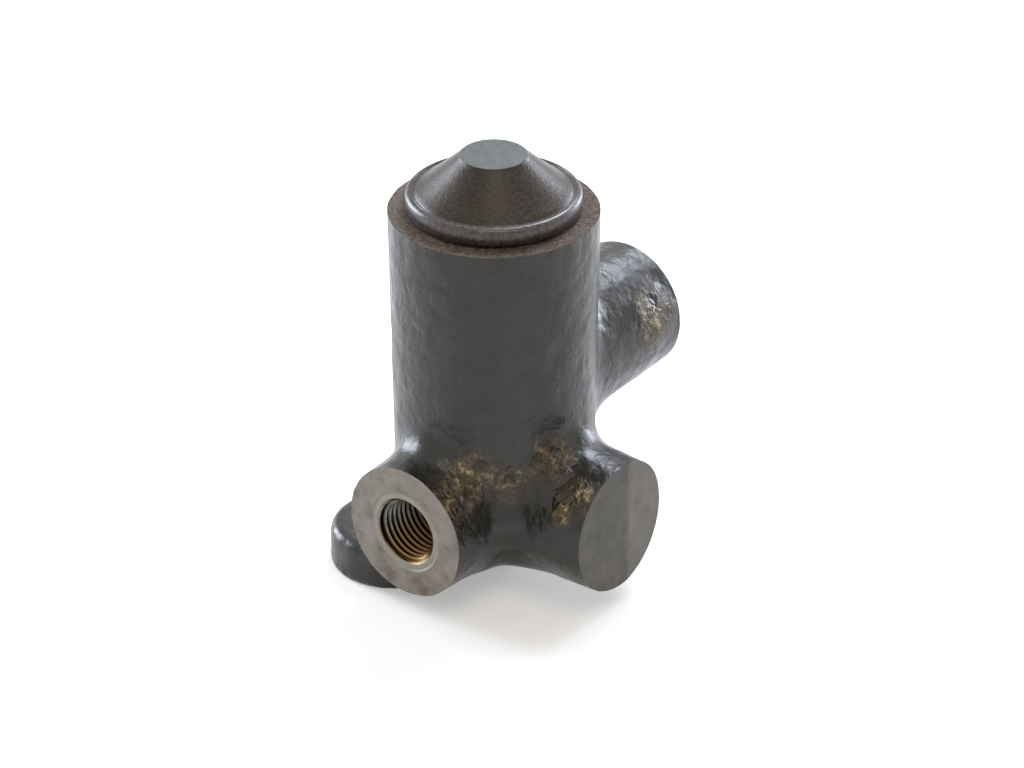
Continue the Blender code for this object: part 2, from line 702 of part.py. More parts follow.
def spring_height(turn, low, high):
    """Height of the wire after some turns: flat end turns, an even pitch
    between them."""
    end_rise = END_TURNS * (WIRE_RADIUS * 2 + END_TURN_GAP)
    if turn < END_TURNS:
        return low + end_rise * turn / END_TURNS
    if turn > SPRING_TURNS - END_TURNS:
        return high - end_rise * (SPRING_TURNS - turn) / END_TURNS
    share = (turn - END_TURNS) / (SPRING_TURNS - END_TURNS * 2)
    return low + end_rise + (high - low - end_rise * 2) * share


def add_spring(material):
    low = spring_z + WIRE_RADIUS
    high = spring_top_z - WIRE_RADIUS
    curve = bpy.data.curves.new("main_spring", "CURVE")
    curve.dimensions = "3D"
    curve.bevel_depth = WIRE_RADIUS
    curve.bevel_resolution = 2
    curve.use_fill_caps = True
    count = int(round(SPRING_TURNS * WIRE_STEPS))
    spline = curve.splines.new("POLY")
    spline.points.add(count)
    for step, point in enumerate(spline.points):
        turn = SPRING_TURNS * step / count
        angle = math.tau * turn
        height = spring_height(turn, low, high) - spring_z
        point.co = (spring_radius * math.cos(angle), spring_radius * math.sin(angle), height, 1.0)
    curve.materials.append(material)
    spring = bpy.data.objects.new("main_spring", curve)
    spring.location = (0.0, 0.0, spring_z)
    bpy.context.scene.collection.objects.link(spring)
    return spring


def add_spring_cup(material):
    """Pressed cup, its flange held under the end circlip and its crown
    reaching up into the cap."""
    rise = CUP_WALL + CUP_RISE
    inner_corner = CUP_CORNER - CUP_WALL
    outline = [(cup_inner_radius, 0.0), (chamber_fit_radius, 0.0), (chamber_fit_radius, CUP_WALL)]
    outline.append((cup_outer_radius, CUP_WALL))
    outline += arc_points((cup_outer_radius - CUP_CORNER, rise - CUP_CORNER), CUP_CORNER, 0.0, 90.0)
    outline += [(0.0, rise), (0.0, rise - CUP_WALL)]
    outline += arc_points((cup_outer_radius - CUP_CORNER, rise - CUP_CORNER), inner_corner, 90.0, 0.0, 2)
    shape = spin_outline(outline, BORE_SIDES)
    cup = add_shape("spring_cup", shape, (0.0, 0.0, cup_flange_z))
    cup.data.materials.append(material)
    return cup


def add_cap(material):
    """Hollow domed cap, its height measured from the underside of the flange."""
    edge = CAP_FLANGE_ROUND
    foot = CAP_FLANGE_RADIUS - CAP_LEDGE
    top = CAP_HEIGHT - SEAT_GAP
    flange_top = CAP_FLANGE_HEIGHT - SEAT_GAP
    neck = chamber_fit_radius
    neck_inner = neck - CAP_NECK_WALL
    neck_low = -CAP_NECK_DEPTH - SEAT_GAP
    outline = [(neck_inner, neck_low), (neck - SEAT_GAP, neck_low), (neck, neck_low + SEAT_GAP)]
    outline += [(neck, 0.0), (CAP_FLANGE_RADIUS - SEAT_GAP, 0.0), (CAP_FLANGE_RADIUS, SEAT_GAP)]
    outline += arc_points((CAP_FLANGE_RADIUS - edge, flange_top - edge), edge, 0.0, 90.0)
    outline += [
        (foot + CAP_GROOVE * 2, flange_top),
        (foot + CAP_GROOVE, flange_top - CAP_GROOVE),
        (foot, flange_top),
    ]
    cone_steps = ROUND_STEPS
    for step in range(1, cone_steps):
        share = step / cone_steps
        sag = CAP_SAG * math.sin(math.pi * share)
        radius = foot + (CAP_TOP_RADIUS - foot) * share - sag
        outline.append((radius, flange_top + (top - flange_top) * share - sag))
    outline += [(CAP_TOP_RADIUS, top - CAP_GROOVE), (CAP_TOP_RADIUS - CAP_GROOVE, top)]
    outline += [(0.0, top), (0.0, top - CAP_WALL)]
    outline += [(CAP_TOP_RADIUS - CAP_WALL / 2, top - CAP_WALL), (neck_inner, flange_top)]
    shape = spin_outline(outline, CAP_SIDES)
    cap = add_shape("dust_cap", shape, (0.0, 0.0, cap_z))
    cap.data.materials.append(material)
    return cap


def build():
    clear_scene()
    casting = make_material("cast_iron", (0.045, 0.043, 0.042), 0.6, 0.5)
    cap_metal = make_material("cap_steel", (0.05, 0.045, 0.042), 0.7, 0.45)
    steel = make_material("turned_steel", (0.42, 0.42, 0.43), 1.0, 0.3)
    spring_steel = make_material("spring_steel", (0.16, 0.16, 0.17), 1.0, 0.4)
    brass = make_material("bush_brass", (0.65, 0.45, 0.18), 1.0, 0.35)
    rubber = make_material("seal_rubber", (0.015, 0.015, 0.016), 0.0, 0.7)
    plastic = make_material("backup_plastic", (0.75, 0.74, 0.7), 0.0, 0.5)

    add_body(casting)
    add_cap(cap_metal)

    add_valve_ring(rubber)
    washer = ring_outline(WASHER_BORE, bore_fit_radius, WASHER_THICKNESS)
    add_turned("valve_ring_washer", washer, valve_washer_z, steel)
    add_sleeve(steel)
    seal_washer = ring_outline(STEM_RADIUS + SEAT_GAP, bore_fit_radius, SEAL_WASHER_THICKNESS)
    add_turned("seal_washer", seal_washer, seal_washer_z, steel)
    add_stem_seal(rubber)
    backup_inner = STEM_RADIUS + BORE_CLEARANCE
    backup = ring_outline(backup_inner, backup_inner + SEAL_SECTION, BACKUP_HEIGHT)
    add_turned("stem_backup_ring", backup, backup_z, plastic)
    add_guide_bush(brass)
    add_o_ring(rubber)
    wiper = ring_outline(backup_inner, backup_inner + WIPER_SECTION, WIPER_HEIGHT)
    add_turned("stem_wiper", wiper, bush_top_z - WIPER_HEIGHT, rubber)
    add_circlip("bush_circlip", bush_circlip_z, BUSH_CIRCLIP_THICKNESS, spring_steel)

    moving = [add_piston(steel), add_spring_seat(steel), add_stem_clip(spring_steel)]
    axis = bpy.data.objects.new("piston_axis", None)
    bpy.context.scene.collection.objects.link(axis)
    for piece in moving:
        piece.parent = axis

    add_spring(spring_steel)
    shim_outer = cup_inner_radius - CUP_CORNER + CUP_WALL
    shim = ring_outline(shim_outer * SHIM_BORE_SHARE, shim_outer, SHIM_THICKNESS)
    add_turned("preload_shim_1", shim, shim_low_z, steel)
    add_turned("preload_shim_2", shim, shim_low_z + SHIM_THICKNESS + SEAT_GAP, steel)
    add_spring_cup(steel)
    add_circlip("end_circlip", end_circlip_z, END_CIRCLIP_THICKNESS, spring_steel)


build()
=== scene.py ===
import math

import bpy
from mathutils import Matrix, Vector


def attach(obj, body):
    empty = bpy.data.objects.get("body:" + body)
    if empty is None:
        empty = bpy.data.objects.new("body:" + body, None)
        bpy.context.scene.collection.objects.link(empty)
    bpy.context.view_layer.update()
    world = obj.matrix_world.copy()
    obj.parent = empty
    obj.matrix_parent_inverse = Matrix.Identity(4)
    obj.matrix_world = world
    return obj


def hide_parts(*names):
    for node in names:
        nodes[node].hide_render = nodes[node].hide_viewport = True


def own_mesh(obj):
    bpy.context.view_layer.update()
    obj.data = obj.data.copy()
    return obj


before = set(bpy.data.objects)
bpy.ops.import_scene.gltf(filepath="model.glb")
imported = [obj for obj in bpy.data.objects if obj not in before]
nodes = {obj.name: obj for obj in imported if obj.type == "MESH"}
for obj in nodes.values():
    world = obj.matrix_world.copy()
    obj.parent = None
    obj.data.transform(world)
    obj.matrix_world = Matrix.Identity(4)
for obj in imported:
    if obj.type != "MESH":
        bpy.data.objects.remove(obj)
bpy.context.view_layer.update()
mm = 0.001
weld = 1e-6  # metres: points nearer than this become one
slack = 1e-5  # metres: room for rounding where a place is tested
print("frame loaded,", len(nodes), "nodes")


# small helpers
def settle():
    # object mode, nothing selected
    if bpy.context.object and bpy.context.object.mode != "OBJECT":
        bpy.ops.object.mode_set(mode="OBJECT")
    bpy.ops.object.select_all(action="DESELECT")


def makeActive(piece):
    settle()
    piece.select_set(True)
    bpy.context.view_layer.objects.active = piece


def newPiece(name):
    # names the primitive that was just added and puts its place into its mesh
    piece = bpy.context.object
    piece.name = name
    piece.data.name = name
    bpy.ops.object.transform_apply(location=True, rotation=True, scale=True)
    return piece


def editAll(piece):
    # edit mode with the whole mesh selected
    makeActive(piece)
    bpy.ops.object.mode_set(mode="EDIT")
    bpy.ops.mesh.select_all(action="SELECT")


def pick(piece, mode, test):
    # edit mode with only the faces, edges or points selected whose place passes the test
    makeActive(piece)
    bpy.ops.object.mode_set(mode="EDIT")
    bpy.ops.mesh.select_mode(type=mode)
    bpy.ops.mesh.select_all(action="DESELECT")
    bpy.ops.object.mode_set(mode="OBJECT")
    mesh = piece.data
    if mode == "FACE":
        for face in mesh.polygons:
            face.select = test(face.center)
    if mode == "EDGE":
        for line in mesh.edges:
            line.select = all(test(mesh.vertices[end].co) for end in line.vertices)
    if mode == "VERT":
        for vertex in mesh.vertices:
            vertex.select = test(vertex.co)
    bpy.ops.object.mode_set(mode="EDIT")


def applyModifier(piece, kind, **settings):
    makeActive(piece)
    modifier = piece.modifiers.new(kind.lower(), kind)
    for name, value in settings.items():
        setattr(modifier, name, value)
    bpy.ops.object.modifier_apply(modifier=modifier.name)


def cutWith(piece, tool):
    applyModifier(piece, "BOOLEAN", operation="DIFFERENCE", solver="EXACT", object=tool)
    bpy.data.objects.remove(tool)


def sawOff(piece, place, outward):
    # cuts off all that lies beyond a plane and closes the cut
    editAll(piece)
    bpy.ops.mesh.bisect(plane_co=place, plane_no=outward, use_fill=True, clear_outer=True, threshold=weld)
    bpy.ops.object.mode_set(mode="OBJECT")


def shadeSmooth(piece, sharpest):
    # smooth shading, where edges that turn by more than this many degrees stay sharp
    makeActive(piece)
    bpy.ops.object.shade_smooth_by_angle(angle=math.radians(sharpest))


def drawOutline(name, outline):
    # an outline of (radius, height) in mm, drawn point by point; leaves it in edit mode
    settle()
    bpy.ops.mesh.primitive_plane_add(size=mm)
    piece = bpy.context.object
    piece.name = name
    piece.data.name = name
    bpy.ops.object.mode_set(mode="EDIT")
    bpy.ops.mesh.select_mode(type="VERT")
    bpy.ops.mesh.select_all(action="SELECT")
    bpy.ops.mesh.merge(type="CENTER")
    last = Vector((0, 0, 0))
    for number, (radius, height) in enumerate(outline):
        step = Vector((radius * mm, 0, height * mm)) - last
        if number == 0:
            bpy.ops.transform.translate(value=step)
        else:
            bpy.ops.mesh.extrude_region_move(TRANSFORM_OT_translate={"value": step})
        last += step
    return piece


def spinOutline(name, outline, sides, turn=None):
    # an outline spun about Z into a closed shape
    piece = drawOutline(name, outline)
    bpy.ops.mesh.select_all(action="SELECT")
    if outline[0][0] > 0:
        # one that starts away from the axis is joined into a loop first
        bpy.ops.mesh.edge_face_add()
        bpy.ops.mesh.delete(type="ONLY_FACE")
        bpy.ops.mesh.select_all(action="SELECT")
    bpy.ops.mesh.spin(steps=sides, angle=math.tau, center=(0, 0, 0), axis=(0, 0, 1))
    bpy.ops.mesh.select_all(action="SELECT")
    bpy.ops.mesh.remove_doubles(threshold=weld)
    bpy.ops.mesh.delete_loose()
    bpy.ops.mesh.select_all(action="SELECT")
    bpy.ops.mesh.normals_make_consistent(inside=False)
    bpy.ops.object.mode_set(mode="OBJECT")
    if turn:
        piece.data.transform(turn)
    return piece


def linear(hexCode):
    # sRGB hex to the linear colour that a shader takes
    parts = [int(hexCode[at:at + 2], 16) / 255 for at in (1, 3, 5)]
    return tuple(p / 12.92 if p <= 0.04045 else ((p + 0.055) / 1.055) ** 2.4 for p in parts) + (1.0,)


def addNode(tree, kind, settings=None, links=None):
    # lower-case names are the node's own settings, the rest are its sockets
    node = tree.nodes.new(kind)
    for name, value in (settings or {}).items():
        if name == "stops":
            ramp = node.color_ramp
            while len(ramp.elements) < len(value):
                ramp.elements.new(0.5)
            for element, (place, colour) in zip(ramp.elements, value):
                element.position = place
                element.color = linear(colour)
        elif isinstance(name, str) and name[0].islower():
            setattr(node, name, value)
        else:
            node.inputs[name].default_value = linear(value) if isinstance(value, str) else value
    for name, source in (links or {}).items():
        tree.links.new(source, node.inputs[name])
    return node


def newFinish(name):
    finish = bpy.data.materials.new(name)
    finish.use_nodes = True
    tree = finish.node_tree
    tree.nodes.clear()
    place = addNode(tree, "ShaderNodeTexCoord").outputs["Object"]
    return finish, tree, place


def endFinish(tree, settings, links):
    shader = addNode(tree, "ShaderNodeBsdfPrincipled", settings, links)
    addNode(tree, "ShaderNodeOutputMaterial", {}, {"Surface": shader.outputs["BSDF"]})


def noiseScale(size):
    # a noise pattern with spots about this many mm across
    return 1000 / size


# the scale at which a wave pattern's lines are 1 mm apart
closeWaves = 314.16


def pointing(turn, height):
    # a unit vector, turned about Z from the front and then raised
    level = math.cos(height)
    return Vector((math.sin(turn) * level, -math.cos(turn) * level, math.sin(height)))


# camera, at the photograph's angle
shot = {
    "azimuth": 39.106, "elevation": 29.067, "roll": -0.2224,  # degrees
    "distance": 650.2, "lens": 158.2, "sensor": 36, "target": (0, 0, 32.3),  # mm
    "targetPixel": (494.467, 358.808), "middlePixel": (512, 384), "focalPixels": 4500,
    "clipStart": 0.01,  # metres
}
azimuth, elevation, roll = (math.radians(shot[key]) for key in ("azimuth", "elevation", "roll"))
back = pointing(azimuth, elevation)
side = Vector((math.cos(azimuth), math.sin(azimuth), 0))
up = back.cross(side)
right = side * math.cos(roll) + up * math.sin(roll)
above = up * math.cos(roll) - side * math.sin(roll)
aim = Vector(((shot["targetPixel"][0] - shot["middlePixel"][0]) / shot["focalPixels"],
              (shot["middlePixel"][1] - shot["targetPixel"][1]) / shot["focalPixels"], -1)).normalized()
lean = Vector((0, 0, -1)).rotation_difference(aim).to_matrix()
turned = Matrix((right, above, back)).transposed() @ lean.transposed()
settle()
bpy.ops.object.camera_add(location=(Vector(shot["target"]) + back * shot["distance"]) * mm)
camera = bpy.context.object
camera.rotation_euler = turned.to_euler()
camera.data.lens = shot["lens"]
camera.data.sensor_width = shot["sensor"]
camera.data.clip_start = shot["clipStart"]
bpy.context.scene.camera = camera
print("camera set")

# floor, world and lamps
studio = {
    "floorSize": 4.0, "floorColour": "#ececec", "floorLift": 0.36,
    "skyLight": 0.40, "skyColour": "#fffaf2", "seenSky": "#ffffff",
    "coolLamp": "#e6eeff", "warmLamp": "#fff1dc", "lampAim": (0, 0, 0.03),
    # turn is counted from the camera, to its right; all in degrees, metres and watts
    "lamps": [
        {"name": "backLeftBox", "turn": -122, "height": 14, "far": 0.50, "size": (0.26, 0.30), "power": 3.2},
        {"name": "backRightBox", "turn": 132, "height": 9, "far": 0.50, "size": (0.20, 0.24), "power": 1.7},
        {"name": "backTopBox", "turn": 154, "height": 50, "far": 0.60, "size": (0.30, 0.26), "power": 3.0},
        {"name": "frontFill", "turn": 8, "height": 62, "far": 0.80, "size": (0.4, 0.4), "power": 1.1},
    ],
}


def seenDirectly(tree):
    # 1 for a ray from the camera, also one through glass or off a gloss, else 0
    ray = addNode(tree, "ShaderNodeLightPath")
    direct = addNode(tree, "ShaderNodeMath", {"operation": "MAXIMUM"},
                     {0: ray.outputs["Is Camera Ray"], 1: ray.outputs["Is Transmission Ray"]})
    shown = addNode(tree, "ShaderNodeMath", {"operation": "MAXIMUM"},
                    {0: direct.outputs[0], 1: ray.outputs["Is Glossy Ray"]})
    return shown.outputs[0]


settle()
bpy.ops.mesh.primitive_plane_add(size=studio["floorSize"])
floor = newPiece("paperFloor")
# matt white card: the lift only brightens what the camera sees of it, and the shadow stays
paper, tree = newFinish("mattWhiteCard")[:2]
lit = addNode(tree, "ShaderNodeBsdfDiffuse", {"Color": studio["floorColour"]})
glow = addNode(tree, "ShaderNodeEmission", {"Strength": studio["floorLift"]})
raised = addNode(tree, "ShaderNodeAddShader", {}, {0: lit.outputs[0], 1: glow.outputs[0]})
seen = addNode(tree, "ShaderNodeMixShader", {},
               {0: seenDirectly(tree), 1: lit.outputs[0], 2: raised.outputs[0]})
addNode(tree, "ShaderNodeOutputMaterial", {}, {"Surface": seen.outputs[0]})
floor.data.materials.append(paper)

world = bpy.data.worlds.new("studioSky")
bpy.context.scene.world = world
world.use_nodes = True
tree = world.node_tree
tree.nodes.clear()
light = addNode(tree, "ShaderNodeBackground", {"Color": studio["skyColour"], "Strength": studio["skyLight"]})
white = addNode(tree, "ShaderNodeBackground", {"Color": studio["seenSky"], "Strength": 1.0})
sky = addNode(tree, "ShaderNodeMixShader", {},
              {0: seenDirectly(tree), 1: light.outputs[0], 2: white.outputs[0]})
addNode(tree, "ShaderNodeOutputWorld", {}, {"Surface": sky.outputs[0]})

for lamp in studio["lamps"]:
    towards = pointing(azimuth + math.radians(lamp["turn"]), math.radians(lamp["height"]))
    settle()
    bpy.ops.object.light_add(type="AREA", location=Vector(studio["lampAim"]) + towards * lamp["far"],
                             rotation=towards.to_track_quat("Z", "Y").to_euler())
    box = bpy.context.object
    box.name = lamp["name"]
    box.data.shape = "RECTANGLE"
    box.data.size, box.data.size_y = lamp["size"]
    box.data.energy = lamp["power"]
    box.data.color = linear(studio["coolLamp" if "back" in lamp["name"] else "warmLamp"])[:3]
bpy.context.scene.view_settings.view_transform = "Standard"
print("studio set")

# both ports in mm, for their finishes, the casting and the threads: the height of the axis,
# how far out the face lies and where the drilling ends
port = {
    "outletAxis": 12.8, "outletReach": 20.6, "outletEnd": 5.0,
    "inletAxis": 28.2, "inletReach": 31.6, "inletEnd": 7.0,
}

# finishes, with the sizes of their patterns in mm
casting = {
    "lump": 2.6, "lumpDepth": 0.26, "grain": 0.55, "grainDepth": 0.04, "pit": 3.0, "pitDepth": 0.05,
    "run": 2.2, "runDepth": 0.11, "runStretch": 0.28, "crinkle": 1.9, "crinkleDepth": 1.0, "patch": 3.4,
    # the last of the varnish tones is a painted glint on the crinkle crests
    "dark": "#1a1914", "light": "#28251e", "brown": "#3d3424", "tan": "#6f6044", "glintGold": "#dfcba4",
    "roughness": (0.24, 0.42), "varnishMetal": 0.65, "varnishRough": 0.22,
    # dried oil lies where the bosses meet: its place, how far it spreads and the share of that
    # in which it is whole
    "pools": [((7.5, -20, 19.5), 4.0), ((8, -15.5, 22), 5.0), ((12, -12, 20.5), 4.5),
              ((14.3, -5, 23), 4.5), ((21, -7, 20.5), 3.5), ((19, -9, 18.5), 3.2), ((9, 26, 31), 5.5)],
    "poolCore": 0.25,
}


def castingFinish():
    # phosphated sand casting under old oil: dull black with soft gloss, lumps from the
    # sand and brown varnish where the oil has dried, with painted gold glints on its crinkle crests
    finish, tree, place = newFinish("phosphatedCasting")
    lumps = addNode(tree, "ShaderNodeTexNoise", {"Scale": noiseScale(casting["lump"]), "Detail": 2.0},
                    {"Vector": place})
    grain = addNode(tree, "ShaderNodeTexNoise",
                    {"Scale": noiseScale(casting["grain"]), "Detail": 3.0, "Roughness": 0.6},
                    {"Vector": place})
    stretched = addNode(tree, "ShaderNodeMapping", {"Scale": (1.0, 1.0, casting["runStretch"])},
                        {"Vector": place})
    runs = addNode(tree, "ShaderNodeTexNoise", {"Scale": noiseScale(casting["run"]), "Detail": 2.0},
                   {"Vector": stretched.outputs[0]})
    pits = addNode(tree, "ShaderNodeTexVoronoi", {"Scale": noiseScale(casting["pit"])}, {"Vector": place})
    pitMask = addNode(tree, "ShaderNodeMapRange", {"From Min": 0.05, "From Max": 0.20},
                      {"Value": pits.outputs["Distance"]})

    # the pools of dried oil, each fading out from its middle
    pooled = None
    for middle, spread in casting["pools"]:
        away = addNode(tree, "ShaderNodeVectorMath",
                       {"operation": "DISTANCE", 1: [value * mm for value in middle]}, {0: place})
        near = addNode(tree, "ShaderNodeMapRange",
                       {"From Min": spread * mm, "From Max": spread * casting["poolCore"] * mm},
                       {"Value": away.outputs["Value"]})
        if pooled is None:
            pooled = near.outputs[0]
        else:
            pooled = addNode(tree, "ShaderNodeMath", {"operation": "MAXIMUM"},
                             {0: pooled, 1: near.outputs[0]}).outputs[0]
    patch = addNode(tree, "ShaderNodeTexNoise",
                    {"Scale": noiseScale(casting["patch"]), "Detail": 3.0, "Roughness": 0.6},
                    {"Vector": place})
    patchEdge = addNode(tree, "ShaderNodeMapRange", {"From Min": 0.28, "From Max": 0.44},
                        {"Value": patch.outputs[0]})
    # where the dried oil lies, which also takes the painted glints
    oilAndGoldSheen = addNode(tree, "ShaderNodeMath", {"operation": "MULTIPLY"}, {0: pooled, 1: patchEdge.outputs[0]})

    ironTones = [(0.35, casting["dark"]), (0.68, casting["light"])]
    tone = addNode(tree, "ShaderNodeValToRGB", {"stops": ironTones}, {"Fac": lumps.outputs[0]})
    crinkle = addNode(tree, "ShaderNodeTexNoise",
                      {"Scale": noiseScale(casting["crinkle"]), "Detail": 5.0, "Roughness": 0.72,
                       "Distortion": 0.25}, {"Vector": place})
    # the dried oil's brown and tan, rising to painted gold glints on the crinkle crests
    varnishAndGlintTones = [(0.44, casting["brown"]), (0.56, casting["tan"]), (0.72, casting["glintGold"])]
    varnishWithGlints = addNode(tree, "ShaderNodeValToRGB", {"stops": varnishAndGlintTones}, {"Fac": crinkle.outputs[0]})
    crinkled = addNode(tree, "ShaderNodeMath", {"operation": "MULTIPLY"},
                       {0: crinkle.outputs[0], 1: oilAndGoldSheen.outputs[0]})
    metal = addNode(tree, "ShaderNodeMath", {"operation": "MULTIPLY", 1: casting["varnishMetal"]},
                    {0: oilAndGoldSheen.outputs[0]})
    colour = addNode(tree, "ShaderNodeMix", {"data_type": "RGBA"},
                     {"Factor": oilAndGoldSheen.outputs[0], "A": tone.outputs[0], "B": varnishWithGlints.outputs[0]})
    low, high = casting["roughness"]
    dry = addNode(tree, "ShaderNodeMapRange",
                  {"From Min": 0.3, "From Max": 0.7, "To Min": low, "To Max": high},
                  {"Value": patch.outputs[0]})
    rough = addNode(tree, "ShaderNodeMix", {"data_type": "FLOAT", "B": casting["varnishRough"]},
                    {"Factor": oilAndGoldSheen.outputs[0], "A": dry.outputs[0]})
    bumps = [(lumps.outputs[0], casting["lumpDepth"]), (runs.outputs[0], casting["runDepth"]),
             (pitMask.outputs[0], casting["pitDepth"]), (grain.outputs[0], casting["grainDepth"]),
             (crinkled.outputs[0], casting["crinkleDepth"])]
    normal = None
    for height, depth in bumps:
        links = {"Height": height}
        if normal:
            links["Normal"] = normal
        normal = addNode(tree, "ShaderNodeBump", {"Distance": depth * mm, "Strength": 1.0}, links).outputs[0]
    endFinish(tree, {"IOR": 1.5}, {"Base Color": colour.outputs["Result"], "Metallic": metal.outputs[0],
                                   "Roughness": rough.outputs[0], "Normal": normal})
    return finish


machined = {
    "line": 0.42, "lineDepth": 0.012, "blotch": 3.0, "colours": ("#7b746c", "#8d867d", "#625b52"),
    "seat": "#949082", "seatShare": 0.55, "seatEdge": (6.35, 6.05),
}


def machinedFinish(name, axisHeight):
    # faced cast iron: dull grey metal with fine turned rings round the port, a few stains and
    # a brighter seat
    finish, tree, place = newFinish(name)
    centred = addNode(tree, "ShaderNodeMapping", {"Location": (0, 0, -axisHeight * mm), "Scale": (1, 0, 1)},
                      {"Vector": place})
    away = addNode(tree, "ShaderNodeVectorMath", {"operation": "LENGTH"}, {0: centred.outputs[0]})
    outside, inside = machined["seatEdge"]
    seated = addNode(tree, "ShaderNodeMapRange",
                     {"From Min": outside * mm, "From Max": inside * mm, "To Max": machined["seatShare"]},
                     {"Value": away.outputs["Value"]})
    rings = addNode(tree, "ShaderNodeTexWave",
                    {"wave_type": "RINGS", "rings_direction": "Y", "Scale": closeWaves / machined["line"],
                     "Distortion": 0.6, "Detail": 2.0}, {"Vector": centred.outputs[0]})
    blotch = addNode(tree, "ShaderNodeTexNoise",
                     {"Scale": noiseScale(machined["blotch"]), "Detail": 4.0, "Roughness": 0.62},
                     {"Vector": place})
    low, high, stain = machined["colours"]
    tone = addNode(tree, "ShaderNodeValToRGB", {"stops": [(0.30, stain), (0.47, low), (0.70, high)]},
                   {"Fac": blotch.outputs[0]})
    colour = addNode(tree, "ShaderNodeMix", {"data_type": "RGBA", "B": machined["seat"]},
                     {"Factor": seated.outputs[0], "A": tone.outputs[0]})
    rough = addNode(tree, "ShaderNodeMapRange", {"To Min": 0.40, "To Max": 0.60},
                    {"Value": blotch.outputs[0]})
    bump = addNode(tree, "ShaderNodeBump", {"Distance": machined["lineDepth"] * mm},
                   {"Height": rings.outputs["Fac"]})
    endFinish(tree, {"Metallic": 0.85},
              {"Base Color": colour.outputs["Result"], "Roughness": rough.outputs[0],
               "Normal": bump.outputs[0]})
    return finish


sawn = {
    "line": 0.5, "lineStretch": 0.12, "lineDepth": 0.04, "blotch": 2.5, "break": (1.2, 2.4),
    "near": ("#494640", "#5a564f"), "far": ("#5b5750", "#6b6760"),
}


def sawnFinish():
    # saw-cut cast iron: flat grey with faint upright saw lines, brighter past the break
    finish, tree, place = newFinish("sawnCastIron")
    flat = addNode(tree, "ShaderNodeMapping", {"Scale": (1.0, 1.0, sawn["lineStretch"])}, {"Vector": place})
    lines = addNode(tree, "ShaderNodeTexNoise", {"Scale": noiseScale(sawn["line"]), "Detail": 3.0},
                    {"Vector": flat.outputs[0]})
    blotch = addNode(tree, "ShaderNodeTexNoise", {"Scale": noiseScale(sawn["blotch"]), "Detail": 4.0},
                     {"Vector": place})
    split = addNode(tree, "ShaderNodeSeparateXYZ", {}, {"Vector": place})
    start, end = sawn["break"]
    farSide = addNode(tree, "ShaderNodeMapRange", {"From Min": start * mm, "From Max": end * mm},
                      {"Value": split.outputs["Y"]})
    tones = []
    for low, high in (sawn["near"], sawn["far"]):
        tones.append(addNode(tree, "ShaderNodeValToRGB", {"stops": [(0.3, low), (0.7, high)]},
                             {"Fac": blotch.outputs[0]}))
    colour = addNode(tree, "ShaderNodeMix", {"data_type": "RGBA"},
                     {"Factor": farSide.outputs[0], "A": tones[0].outputs[0], "B": tones[1].outputs[0]})
    bump = addNode(tree, "ShaderNodeBump", {"Distance": sawn["lineDepth"] * mm},
                   {"Height": lines.outputs[0]})
    endFinish(tree, {"Metallic": 0.5, "Roughness": 0.5},
              {"Base Color": colour.outputs["Result"], "Normal": bump.outputs[0]})
    return finish


rusty = {
    "grain": 0.5, "grainDepth": 0.12, "patch": 2.2, "bareShare": 0.7,
    "rust": ("#231c17", "#453628", "#7d6c5a"), "bare": "#57514a",
}


def rustyFinish():
    # bare rim that has rusted: matt brown grains with some grey iron between them
    finish, tree, place = newFinish("rustedCastIron")
    grains = addNode(tree, "ShaderNodeTexNoise",
                     {"Scale": noiseScale(rusty["grain"]), "Detail": 4.0, "Roughness": 0.7},
                     {"Vector": place})
    patches = addNode(tree, "ShaderNodeTexNoise", {"Scale": noiseScale(rusty["patch"]), "Detail": 2.0},
                      {"Vector": place})
    dark, middle, light = rusty["rust"]
    rust = addNode(tree, "ShaderNodeValToRGB", {"stops": [(0.32, dark), (0.50, middle), (0.66, light)]},
                   {"Fac": grains.outputs[0]})
    bare = addNode(tree, "ShaderNodeMapRange",
                   {"From Min": 0.48, "From Max": 0.66, "To Max": rusty["bareShare"]},
                   {"Value": patches.outputs[0]})
    colour = addNode(tree, "ShaderNodeMix", {"data_type": "RGBA", "B": rusty["bare"]},
                     {"Factor": bare.outputs[0], "A": rust.outputs[0]})
    bump = addNode(tree, "ShaderNodeBump", {"Distance": rusty["grainDepth"] * mm},
                   {"Height": grains.outputs[0]})
    endFinish(tree, {"Roughness": 0.72},
              {"Base Color": colour.outputs["Result"], "Normal": bump.outputs[0]})
    return finish


# how much the roughness of a worked metal goes up and down
roughSpread = 0.1


def metalFinish(name, colours, metallic, roughness, spot, bumpDepth, shine=0.5):
    # a worked metal or a moulding: two close tones in small spots, gloss that varies with them
    finish, tree, place = newFinish(name)
    spots = addNode(tree, "ShaderNodeTexNoise", {"Scale": noiseScale(spot), "Detail": 4.0, "Roughness": 0.6},
                    {"Vector": place})
    tone = addNode(tree, "ShaderNodeValToRGB", {"stops": [(0.35, colours[0]), (0.65, colours[1])]},
                   {"Fac": spots.outputs[0]})
    rough = addNode(tree, "ShaderNodeMapRange",
                    {"To Min": roughness - roughSpread, "To Max": roughness + roughSpread},
                    {"Value": spots.outputs[0]})
    bump = addNode(tree, "ShaderNodeBump", {"Distance": bumpDepth * mm}, {"Height": spots.outputs[0]})
    endFinish(tree, {"Metallic": metallic, "Specular IOR Level": shine},
              {"Base Color": tone.outputs[0], "Roughness": rough.outputs[0], "Normal": bump.outputs[0]})
    return finish


# radii of crest and root, depths below the axis and behind the port's face
threadMetal = {
    # the black paints shade into the roots and deep in the port, and the golden tone paints a reflection
    # below the axis
    "spot": 1.4, "crest": 4.5, "root": 4.85, "reflectionBelow": 3.6,
    "shadeDepth": (1.5, 9), "shadeShare": 0.85, "lipDepth": (0.75, 0.5),
    "bare": ("#5d6058", "#8b8e83"), "paintedGold": "#8c6f42", "shadeBlack": "#0e0c0a",
}


